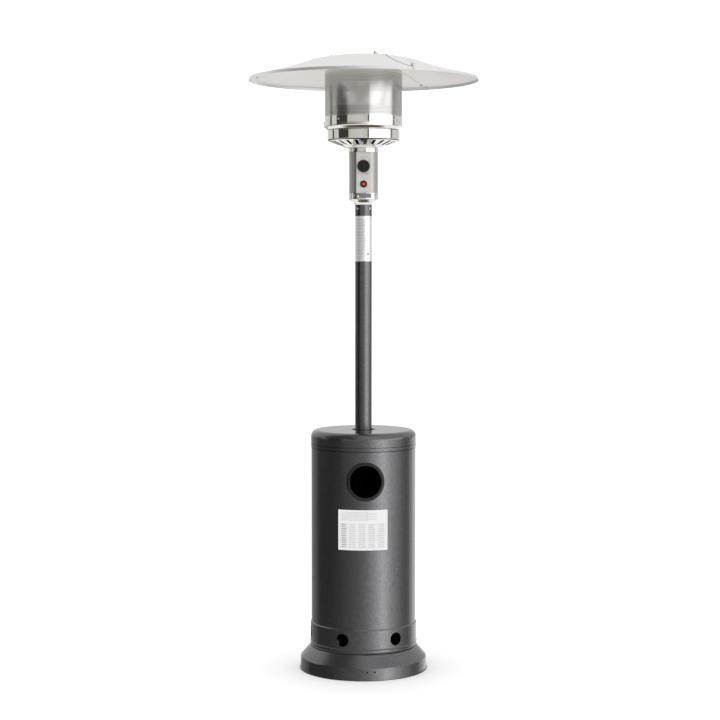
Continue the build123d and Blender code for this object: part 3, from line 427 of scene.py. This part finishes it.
def ratingPattern(place):
    low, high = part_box("rating_label")
    tall = high.z - low.z
    across, up = unrolled(place, ratingPrint["radius"])
    across = across - ratingPrint["radius"] * math.radians(ratingPrint["turn"])
    down = high.z - up
    first, second = ratingPrint["headings"]
    heading = textRows(across, down, first) * first["ink"]
    heading = heading.most(textRows(across, down, second) * second["ink"])
    tableTop = tall * ratingPrint["tableFrom"]
    halfWide = ratingPrint["halfWide"]
    inTable = (down > tableTop) * (down < tall * ratingPrint["tableTo"])
    inTable = inTable * (across.size() < halfWide - ratingPrint["margin"])
    column = (across + halfWide) / ratingPrint["column"]
    body = textRows(across, down - (tableTop + tall) / 2, ratingPrint["entries"])
    body = body * ((column.rest() - 0.5).size() < 0.36) * (0.40 + 0.40 * (column < 1.0))
    rows = ((down - tableTop) / ratingPrint["row"]).rest() < 0.07
    lines = rows.most(column.rest() < 0.025) * ratingPrint["lineInk"]
    shade = (column < 1.0) * ratingPrint["shadeInk"]
    ink = heading.most(body.most(lines).most(shade) * inTable)
    grain = noise(place, ratingPrint["grainScale"], 2)
    return {
        "Base Color": blendColour(ink, ratingPrint["paper"], ratingPrint["ink"]),
        "Roughness": 0.42 + 0.12 * grain,
        "Normal": bump(grain, 0.00003, 0.5),
    }


foilPrint = {
    "silver": (0.80, 0.805, 0.81), "ink": (0.16, 0.16, 0.17), "red": (0.45, 0.03, 0.02), "radius": 0.030,
    "dotAt": (0.0165, 1.4815), "dotRadius": 0.0040,
    "redAt": (0.0160, 1.4670), "redHalf": (0.003, 0.0017),
    "crinkleScale": 60, "crinkleDepth": 0.0003,
    "left": {"at": (-0.017, 0), "halfWide": 0.015, "halfTall": 0.072, "pitch": 0.0052, "letters": 700},
    "right": {"at": (0.002, 0.012), "halfWide": 0.006, "halfTall": 0.054, "pitch": 0.0064, "letters": 600},
}


def foilPattern(place):
    low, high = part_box("post_label")
    across, up = unrolled(place, foilPrint["radius"])
    fromMiddle = up - (low.z + high.z) / 2
    left = textRows(across, fromMiddle, foilPrint["left"]) * 0.72
    ink = left.most(textRows(across, fromMiddle, foilPrint["right"]) * 0.5)
    dotX, dotUp = foilPrint["dotAt"]
    dot = distance(across - dotX, up - dotUp) < foilPrint["dotRadius"]
    redX, redUp = foilPrint["redAt"]
    halfWide, halfTall = foilPrint["redHalf"]
    red = ((across - redX).size() < halfWide) * ((up - redUp).size() < halfTall)
    colour = blendColour(ink, foilPrint["silver"], foilPrint["ink"])
    colour = blendColour(dot * 0.9, colour, foilPrint["ink"])
    crinkle = noise(place, foilPrint["crinkleScale"], 3)
    return {
        "Base Color": blendColour(red * 0.8, colour, foilPrint["red"]),
        "Metallic": 0.7 - 0.7 * ink.most(dot).most(red),
        "Roughness": 0.24 + 0.14 * crinkle,
        "Normal": bump(crinkle, foilPrint["crinkleDepth"], 0.3),
    }


slatePrint = {
    "slate": (0.11, 0.12, 0.165), "letters": (0.36, 0.37, 0.42), "mark": (0.85, 0.72, 0.02),
    "radius": 0.0526, "markAt": -0.0193, "markWide": 0.011, "markTall": 0.0095, "markLow": 0.0025,
    "words": {"at": (0.006, 0), "halfWide": 0.018, "halfTall": 0.0060, "pitch": 0.0034, "letters": 900},
}


def slatePattern(place):
    low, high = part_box("caution_plate")
    across, up = unrolled(place, slatePrint["radius"])
    rise = (up - low.z - slatePrint["markLow"]) / slatePrint["markTall"]
    side = (across - slatePrint["markAt"]).size()
    triangle = (side < slatePrint["markWide"] / 2 * (1 - rise)) * (rise > 0)
    words = textRows(across, up - (low.z + high.z) / 2, slatePrint["words"]) * 0.42
    colour = blendColour(words, slatePrint["slate"], slatePrint["letters"])
    return {
        "Base Color": blendColour(triangle, colour, slatePrint["mark"]),
        "Roughness": 0.32 + 0.1 * noise(place, 700, 2),
    }


metal = {"Metallic": 1.0}
moulded = {
    "enamel": {
        "light": (0.008, 0.008, 0.008), "dark": (0.004, 0.004, 0.004), "grain": 500, "depth": 0.00006,
        "rough": 0.70,
    },
    "blackPlastic": {
        "light": (0.016, 0.016, 0.018), "dark": (0.009, 0.009, 0.010), "grain": 1400, "depth": 0.00006,
        "rough": 0.32,
    },
    "rubber": {
        "light": (0.012, 0.012, 0.012), "dark": (0.006, 0.006, 0.006), "grain": 900, "depth": 0.00003,
        "rough": 0.16,
    },
    "redPlastic": {
        "light": (0.60, 0.014, 0.010), "dark": (0.50, 0.010, 0.007), "grain": 900, "depth": 0.00003,
        "rough": 0.30,
    },
    "glaze": {
        "light": (0.86, 0.84, 0.79), "dark": (0.74, 0.71, 0.65), "grain": 500, "depth": 0.00003,
        "rough": 0.25,
    },
    "silicone": {
        "light": (0.38, 0.045, 0.035), "dark": (0.26, 0.03, 0.025), "grain": 800, "depth": 0.00004,
        "rough": 0.48,
    },
}
finishList = {  # slot: fixed values and pattern
    "dark_paint": (metal, paintPattern),
    "black_enamel": ({"Specular IOR Level": 0.15}, mouldedPattern(**moulded["enamel"])),
    "cast_iron": ({"Metallic": 0.3}, ironPattern),
    "zinc_steel": (metal, zincPattern),
    "polished_steel": (metal, polishedPattern),
    "brushed_steel": (metal, brushedPattern),
    "panel_steel": ({}, panelPattern),
    "screen_steel": (metal, screenPattern),
    "reflector_aluminium": ({"Metallic": 0.85}, aluminiumPattern),
    "pilot_aluminium": (metal, drawnPattern((0.80, 0.80, 0.80), (0.62, 0.62, 0.62))),
    "black_plastic": ({"Specular IOR Level": 0.25}, mouldedPattern(**moulded["blackPlastic"])),
    "black_rubber": ({"Specular IOR Level": 0.3}, mouldedPattern(**moulded["rubber"])),
    "red_plastic": ({"Coat Weight": 0.3}, mouldedPattern(**moulded["redPlastic"])),
    "brass": (metal, drawnPattern((0.78, 0.60, 0.30), (0.60, 0.43, 0.20))),
    "copper": (metal, drawnPattern((0.80, 0.42, 0.25), (0.55, 0.27, 0.16))),
    "white_label": ({}, ratingPattern),
    "silver_foil": ({}, foilPattern),
    "slate_label": ({}, slatePattern),
    "ceramic": ({"Coat Weight": 0.4}, mouldedPattern(**moulded["glaze"])),
    "silicone_lead": ({}, mouldedPattern(**moulded["silicone"])),
}
finishes = {slot: makeFinish(slot, fixed, pattern) for slot, (fixed, pattern) in finishList.items()}
for part in frame["record"]["subparts"]:
    nodes[part["node"]].material_slots[0].material = finishes[part["material_slot"]]
print("finishes made:", len(finishes))


def emptyHands():
    if bpy.context.object and bpy.context.object.mode == "EDIT":
        bpy.ops.object.mode_set(mode="OBJECT")
    bpy.ops.object.select_all(action="DESELECT")


def pick(kind, wanted):  # selects the verts or faces that pass the test
    bpy.ops.mesh.select_all(action="DESELECT")
    bpy.ops.mesh.select_mode(type={"verts": "VERT", "faces": "FACE"}[kind])
    mesh = bmesh.from_edit_mesh(bpy.context.object.data)
    for item in getattr(mesh, kind):
        item.select_set(bool(wanted(item)))
    bmesh.update_edit_mesh(bpy.context.object.data)


def finishPiece(piece, body, slot, stands, smooth=35):
    emptyHands()
    piece.select_set(True)
    bpy.context.view_layer.objects.active = piece
    bpy.ops.object.transform_apply(location=True, rotation=True, scale=True)
    bpy.ops.object.shade_smooth_by_angle(angle=math.radians(smooth))
    piece.data.materials.clear()
    piece.data.materials.append(finishes[slot])
    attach(piece, body)
    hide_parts(*stands)
    piece.select_set(False)


def keepModifier(kind, **settings):
    piece = bpy.context.object
    change = piece.modifiers.new(kind, kind)
    for name, value in settings.items():
        setattr(change, name, value)
    bpy.ops.object.modifier_apply(modifier=change.name)


emitter = {
    "radius": 0.1365, "pitch": 0.0055, "hole": 0.0017, "sheet": 0.0008,
    "plainLow": 0.030, "plainHigh": 0.005,  # bands with no holes
}


def emitterScreen():
    low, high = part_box("emitter_screen")
    tall = high.z - low.z
    around = 2 * math.pi * emitter["radius"]
    columns = round(around / emitter["pitch"])
    rowTall = around / columns * math.sqrt(3) / 2
    rowCount = int((tall - emitter["plainLow"] - emitter["plainHigh"]) / rowTall)
    firstRow = emitter["plainLow"]  # heights from the screen's foot
    lastRow = firstRow + rowCount * rowTall
    emptyHands()
    bpy.ops.mesh.primitive_circle_add(
        vertices=columns, radius=emitter["radius"], location=(0, 0, low.z)
    )
    screen = bpy.context.object
    screen.name = "perforated_screen"
    bpy.ops.object.mode_set(mode="EDIT")
    bpy.ops.mesh.select_all(action="SELECT")
    bpy.ops.mesh.extrude_region_move(TRANSFORM_OT_translate={"value": (0, 0, firstRow)})
    for row in range(rowCount):  # each row of holes sits half a pitch round from the last
        bpy.ops.mesh.extrude_region_move(TRANSFORM_OT_translate={"value": (0, 0, rowTall)})
        bpy.ops.transform.rotate(value=math.pi / columns, orient_axis="Z", center_override=(0, 0, 0))
    bpy.ops.mesh.extrude_region_move(TRANSFORM_OT_translate={"value": (0, 0, tall - lastRow)})
    bpy.ops.mesh.select_all(action="SELECT")
    bpy.ops.mesh.quads_convert_to_tris(quad_method="SHORTEST_DIAGONAL")
    pick("verts", lambda v: firstRow + rowTall / 2 < v.co.z < lastRow - rowTall / 2)
    bpy.ops.mesh.bevel(offset=emitter["hole"], offset_type="OFFSET", affect="VERTICES", segments=1)

    def isHole(face):
        rows = (face.calc_center_median().z - firstRow) / rowTall
        return len(face.verts) == 6 and abs(rows - round(rows)) < 0.1
    pick("faces", isHole)
    bpy.ops.mesh.delete(type="FACE")
    bpy.ops.mesh.select_all(action="SELECT")
    bpy.ops.mesh.normals_make_consistent(inside=False)
    bpy.ops.object.mode_set(mode="OBJECT")
    keepModifier("SOLIDIFY", thickness=emitter["sheet"], offset=-1)
    finishPiece(screen, "frame", "screen_steel", ["emitter_screen"], smooth=25)
    print("screen:", rowCount, "rows of", columns, "holes,", len(screen.data.polygons), "faces")


emitterScreen()


def spun(name, profile, steps):  # rings of (radius, height), each extruded from the last
    emptyHands()
    radius, height = profile[0]
    bpy.ops.mesh.primitive_circle_add(vertices=steps, radius=radius, location=(0, 0, height))
    piece = bpy.context.object
    piece.name = name
    bpy.ops.object.mode_set(mode="EDIT")
    bpy.ops.mesh.select_mode(type="VERT")
    bpy.ops.mesh.select_all(action="SELECT")
    for nextRadius, nextHeight in profile[1:]:
        bpy.ops.mesh.extrude_region_move(TRANSFORM_OT_translate={"value": (0, 0, nextHeight - height)})
        grow = nextRadius / radius
        bpy.ops.transform.resize(value=(grow, grow, 1), center_override=(0, 0, nextHeight))
        radius, height = nextRadius, nextHeight
    bpy.ops.mesh.select_all(action="SELECT")
    bpy.ops.mesh.normals_make_consistent(inside=False)
    bpy.ops.object.mode_set(mode="OBJECT")
    return piece


collar = {
    "flange": (0.106, 0.127), "foot": 1.917, "top": 1.963, "outer": 0.138, "sheet": 0.0009,
    "shoulder": (  # an S between the bowl's wall and the collar's
        (0.1270, 1.9188), (0.1284, 1.9196), (0.1298, 1.9207), (0.1313, 1.9222), (0.1328, 1.9238),
        (0.1343, 1.9252), (0.1358, 1.9264), (0.1370, 1.9278), (0.1377, 1.9295), (0.1380, 1.9315),
    ),
    "steps": 144,
    "hole": 0.006, "holeAt": 1.933, "holeTurn": -96, "holeSteps": 32, "punchDepth": 0.02,
}


def burnerCollar():
    inner, outer = collar["flange"]
    flangeTop = collar["foot"] + collar["sheet"]
    profile = [(inner, flangeTop), (outer, flangeTop), *collar["shoulder"], (collar["outer"], collar["top"])]
    piece = spun("rolled_collar", profile, collar["steps"])
    keepModifier("SOLIDIFY", thickness=collar["sheet"], offset=-1)
    turn = math.radians(collar["holeTurn"])
    middle = (collar["outer"] * math.sin(turn), -collar["outer"] * math.cos(turn), collar["holeAt"])
    emptyHands()
    bpy.ops.mesh.primitive_cylinder_add(
        vertices=collar["holeSteps"], radius=collar["hole"], depth=collar["punchDepth"],
        location=middle, rotation=(math.pi / 2, 0, turn),
    )
    punch = bpy.context.object
    bpy.context.view_layer.objects.active = piece
    keepModifier("BOOLEAN", operation="DIFFERENCE", object=punch)
    bpy.data.objects.remove(punch)
    finishPiece(piece, "frame", "polished_steel", ["burner_collar"])
    print("collar:", len(piece.data.polygons), "faces")


burnerCollar()

edging = {
    "ringRadius": 0.0621, "fat": 0.0061, "flat": 0.42, "stepsRound": 128, "stepsAcross": 20,
    "wall": 0.186, "height": 0.6906, "turn": 2,
}


def windowEdging():
    emptyHands()
    bpy.ops.mesh.primitive_torus_add(
        major_radius=edging["ringRadius"], minor_radius=edging["fat"],
        major_segments=edging["stepsRound"], minor_segments=edging["stepsAcross"],
        rotation=(math.pi / 2, 0, 0),
    )
    ring = bpy.context.object
    ring.name = "rolled_edging"
    bpy.ops.object.transform_apply(location=False, rotation=True, scale=False)
    ring.scale = (1, edging["flat"], 1)
    bpy.ops.object.transform_apply(location=False, rotation=False, scale=True)
    width = 2 * (edging["ringRadius"] + edging["fat"])
    keepModifier("SIMPLE_DEFORM", deform_method="BEND", deform_axis="Z", angle=width / edging["wall"])
    turn = math.radians(edging["turn"])
    ring.location = (edging["wall"] * math.sin(turn), -edging["wall"] * math.cos(turn), edging["height"])
    ring.rotation_euler = (0, 0, turn)
    finishPiece(ring, "tank_housing", "black_rubber", ["window_trim"], smooth=60)
    print("edging:", len(ring.data.polygons), "faces")


windowEdging()

studio = {
    "floorSize": 60, "floorDark": (0.92, 0.92, 0.92), "floorLight": (0.94, 0.94, 0.94),
    "paper": 1.3, "lens": 88, "sensor": 36,
    "cameraAt": (-0.0125, -6.264, 1.4615), "cameraPitch": -0.0569,
    "cream": (0.56, 0.53, 0.47), "dark": (0.045, 0.04, 0.035), "white": (1.9, 1.9, 1.88),
    "grey": (0.62, 0.62, 0.61), "line": (0.14, 0.09, 0.085), "far": (0.85, 0.85, 0.85),
    "ceilingLeft": (0.16, 0.16, 0.16), "ceiling": (0.85, 0.85, 0.85),
    "ground": (0.95, 0.93, 0.90), "under": (0.12, 0.09, 0.07),
    # where each band of light gives way to the next, up or down from level
    "levelAt": (-0.06, -0.01), "ceilingAt": (0.13, 0.24), "groundAt": (0.27, 0.36), "underAt": (0.78, 0.92),
    "flagSide": (-0.45, 0.15), "flagBack": (0.0, 0.35),
}
# degrees from the front, growing to the right, and the light there
highBands = (
    (-180, "far"), (-125, "grey"), (-117, "grey"), (-115, "dark"), (-109, "dark"), (-107, "grey"),
    (-88, "grey"), (-85, "dark"), (-50, "dark"), (-47, "cream"), (-10, "grey"), (12, "cream"),
    (13.5, "line"), (17, "line"), (18, "white"), (88, "white"), (97, "cream"), (99, "line"),
    (102, "line"), (104, "grey"), (135, "grey"), (180, "far"),
)
lowBands = (
    (-180, 0.5), (-150, 0.4), (-135, 0.35), (-121, 0.25), (-117, 0.10), (-88, 0.09), (-65, 0.11),
    (-46, 0.17), (-27, 0.27), (-9, 0.42), (8, 0.75), (26, 1.45), (44, 2.45), (55, 1.8), (64, 1.25),
    (75, 0.95), (86, 0.65), (99, 0.42), (113, 0.33), (124, 0.6), (131, 1.0), (145, 1.2), (180, 1.0),
)


def compass(degrees):
    return degrees / 360 + 0.5


def hall():  # soft boxes and dark flags round the heater
    world = bpy.data.worlds.new("studio")
    bpy.context.scene.world = world
    world.use_nodes = True
    tree = world.node_tree
    tree.nodes.clear()
    start = Wire(tree)
    x, y, z = axisParts(start.node("ShaderNodeTexCoord", output="Generated"))
    down = 0.0 - z
    turn = bearing(x, y) / (2 * math.pi) + 0.5
    stops = [(compass(degrees), studio[name]) for degrees, name in highBands]
    high = turn.node("ShaderNodeValToRGB", {"stops": stops}, {0: turn})
    stops = [(compass(degrees), (level,) * 3) for degrees, level in lowBands]
    low = turn.node("ShaderNodeValToRGB", {"stops": stops}, {0: turn})
    light = blendColour(rising(z, *studio["levelAt"]), low, high)
    lit = rising(x, *studio["flagSide"]).most(rising(y, *studio["flagBack"]))  # the flag hangs front left
    ceiling = blendColour(lit, studio["ceilingLeft"], studio["ceiling"])
    light = blendColour(rising(z, *studio["ceilingAt"]), light, ceiling)
    light = blendColour(rising(down, *studio["groundAt"]), light, studio["ground"])
    light = blendColour(rising(down, *studio["underAt"]), light, studio["under"])
    mirrored = start.node("ShaderNodeLightPath", output="Is Glossy Ray")
    seen = blendColour(mirrored, (studio["paper"],) * 3, light)
    glow = start.node("ShaderNodeBackground", sockets={"Color": seen, "Strength": 1.0})
    out = tree.nodes.new("ShaderNodeOutputWorld")
    tree.links.new(glow.socket, out.inputs["Surface"])


def floorPattern(place):
    dust = noise(place, 3, 3)
    return {"Base Color": blendColour(dust, studio["floorDark"], studio["floorLight"])}


def floorSheet():
    emptyHands()
    bpy.ops.mesh.primitive_plane_add(size=studio["floorSize"], location=(0, 0, 0))
    floor = bpy.context.object
    floor.name = "studio_floor"
    floor.data.materials.append(makeFinish("studio_floor", {"Roughness": 0.8}, floorPattern))
    floor.visible_glossy = False


def camera():
    lens = bpy.data.cameras.new("camera")
    lens.lens = studio["lens"]
    lens.sensor_width = studio["sensor"]
    eye = bpy.data.objects.new("camera", lens)
    eye.location = studio["cameraAt"]
    eye.rotation_euler = (math.pi / 2 + studio["cameraPitch"], 0, 0)
    bpy.context.scene.collection.objects.link(eye)
    bpy.context.scene.camera = eye
    bpy.context.scene.view_settings.view_transform = "Standard"


hall()
floorSheet()
camera()
print("studio ready")
